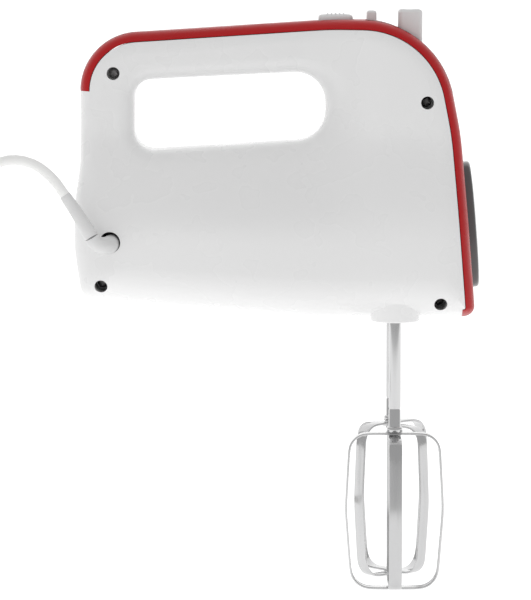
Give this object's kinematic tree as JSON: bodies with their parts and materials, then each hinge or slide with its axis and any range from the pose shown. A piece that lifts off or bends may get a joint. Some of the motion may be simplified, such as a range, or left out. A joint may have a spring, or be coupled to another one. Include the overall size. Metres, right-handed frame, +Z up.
{
  "type": "hand mixer",
  "caption": "Electric hand mixer with a loop handle, red trim cover, oval front panel, side-mounted mains lead and wire beaters in a moulded white housing.",
  "frame": {"origin": "middle of the handle's grip, where a hand holds the mixer", "axes": "+X to the front of the mixer, +Z up along the beaters' axes, +Y to its left"},
  "size_m": [0.3415, 0.1046, 0.2876],
  "materials": {
    "white_shell": "glossy white moulded plastic",
    "red_trim": "glossy red moulded plastic",
    "black_gloss": "high-gloss black plastic",
    "grey_control": "satin light grey plastic",
    "bright_steel": "polished stainless steel",
    "screw_steel": "dark zinc-plated steel",
    "core_iron": "laminated electrical steel",
    "copper_winding": "enamelled copper wire",
    "bearing_brass": "sintered bronze",
    "gear_nylon": "natural nylon",
    "frame_plastic": "dark glass-filled plastic",
    "brush_carbon": "pressed carbon",
    "switch_board": "green circuit board",
    "lead_grey": "light grey soft plastic",
    "lead_white": "white soft plastic sheath"
  },
  "bodies": {
    "housing": {"trim_cover": "red_trim", "front_panel": "black_gloss", "eject_spring": "bright_steel", "turbo_spring": "bright_steel", "switch_carrier": "frame_plastic", "ejector_guide": "frame_plastic", "turbo_switch": "switch_board", "speed_switch": "switch_board", "stator_core": "core_iron", "upper_field_coil": "copper_winding", "lower_field_coil": "copper_winding", "gear_frame": "frame_plastic", "front_bearing": "bearing_brass", "nose_bearing": "bearing_brass", "rear_bridge": "frame_plastic", "rear_bearing": "bearing_brass", "right_brush_holder": "gear_nylon", "left_brush_holder": "gear_nylon", "right_brush": "brush_carbon", "left_brush": "brush_carbon", "right_shell": "white_shell", "left_shell": "white_shell", "lead_elbow": "lead_grey", "strain_relief": "lead_grey", "mains_lead": "lead_white", "cord_clamp": "frame_plastic", "lead_coil": "lead_white", "lead_tie": "lead_grey", "plug_relief": "lead_white", "plug_body": "lead_white", "right_plug_pin": "bright_steel", "left_plug_pin": "bright_steel", "rear_upper_screw": "screw_steel", "front_upper_screw": "screw_steel", "rear_lower_screw": "screw_steel", "front_lower_screw": "screw_steel", "right_bush": "bearing_brass", "left_bush": "bearing_brass"},
    "armature_body": {"motor_shaft": "bright_steel", "armature": "copper_winding", "commutator": "bearing_brass", "cooling_fan": "frame_plastic", "worm": "bright_steel"},
    "turbo_body": {"turbo_button": "grey_control"},
    "speed_body": {"speed_slider": "grey_control"},
    "eject_body": {"eject_button": "grey_control", "ejector_plate": "frame_plastic"},
    "right_drive": {"right_worm_wheel": "gear_nylon", "right_spindle": "bright_steel"},
    "right_ejector": {"right_ejector_pin": "gear_nylon"},
    "right_beater": {"right_beater_stem": "bright_steel", "right_beater_outer_loop": "bright_steel", "right_beater_inner_loop": "bright_steel"},
    "left_drive": {"left_worm_wheel": "gear_nylon", "left_spindle": "bright_steel"},
    "left_ejector": {"left_ejector_pin": "gear_nylon"},
    "left_beater": {"left_beater_stem": "bright_steel", "left_beater_outer_loop": "bright_steel", "left_beater_inner_loop": "bright_steel"}
  },
  "joints": [
    {"name": "motor_spin", "type": "hinge", "parent": "housing", "child": "armature_body", "pos_m": [0, 0, -0.092], "axis": [1, 0, 0], "continuous": true},
    {"name": "turbo_press", "type": "slide", "parent": "housing", "child": "turbo_body", "axis": [0, 0, -1], "range_m": [0, 0.0015], "stiffness_N_per_m": 600, "springref_m": -0.003, "deforming": ["turbo_spring"]},
    {"name": "speed_slide", "type": "slide", "parent": "housing", "child": "speed_body", "axis": [1, 0, 0], "range_m": [0, 0.008]},
    {"name": "eject_press", "type": "slide", "parent": "housing", "child": "eject_body", "axis": [0, 0, -1], "range_m": [0, 0.006], "stiffness_N_per_m": 900, "springref_m": -0.008, "deforming": ["eject_spring"]},
    {"name": "right_spindle_spin", "type": "hinge", "parent": "housing", "child": "right_drive", "pos_m": [0.0818, -0.0225, -0.092], "axis": [0, 0, 1], "continuous": true},
    {"name": "right_pin_push", "type": "slide", "parent": "right_drive", "child": "right_ejector", "axis": [0, 0, -1], "range_m": [0, 0.006]},
    {"name": "right_beater_release", "type": "slide", "parent": "right_ejector", "child": "right_beater", "axis": [0, 0, -1], "range_m": [0, 0.03]},
    {"name": "left_spindle_spin", "type": "hinge", "parent": "housing", "child": "left_drive", "pos_m": [0.0818, 0.0225, -0.092], "axis": [0, 0, 1], "continuous": true},
    {"name": "left_pin_push", "type": "slide", "parent": "left_drive", "child": "left_ejector", "axis": [0, 0, -1], "range_m": [0, 0.006]},
    {"name": "left_beater_release", "type": "slide", "parent": "left_ejector", "child": "left_beater", "axis": [0, 0, -1], "range_m": [0, 0.03]}
  ],
  "couplings": [
    {"joint": "right_spindle_spin", "follows": "motor_spin", "ratio": 0.11111},
    {"joint": "right_pin_push", "follows": "eject_press", "ratio": 1},
    {"joint": "left_spindle_spin", "follows": "motor_spin", "ratio": -0.11111},
    {"joint": "left_pin_push", "follows": "eject_press", "ratio": 1}
  ]
}
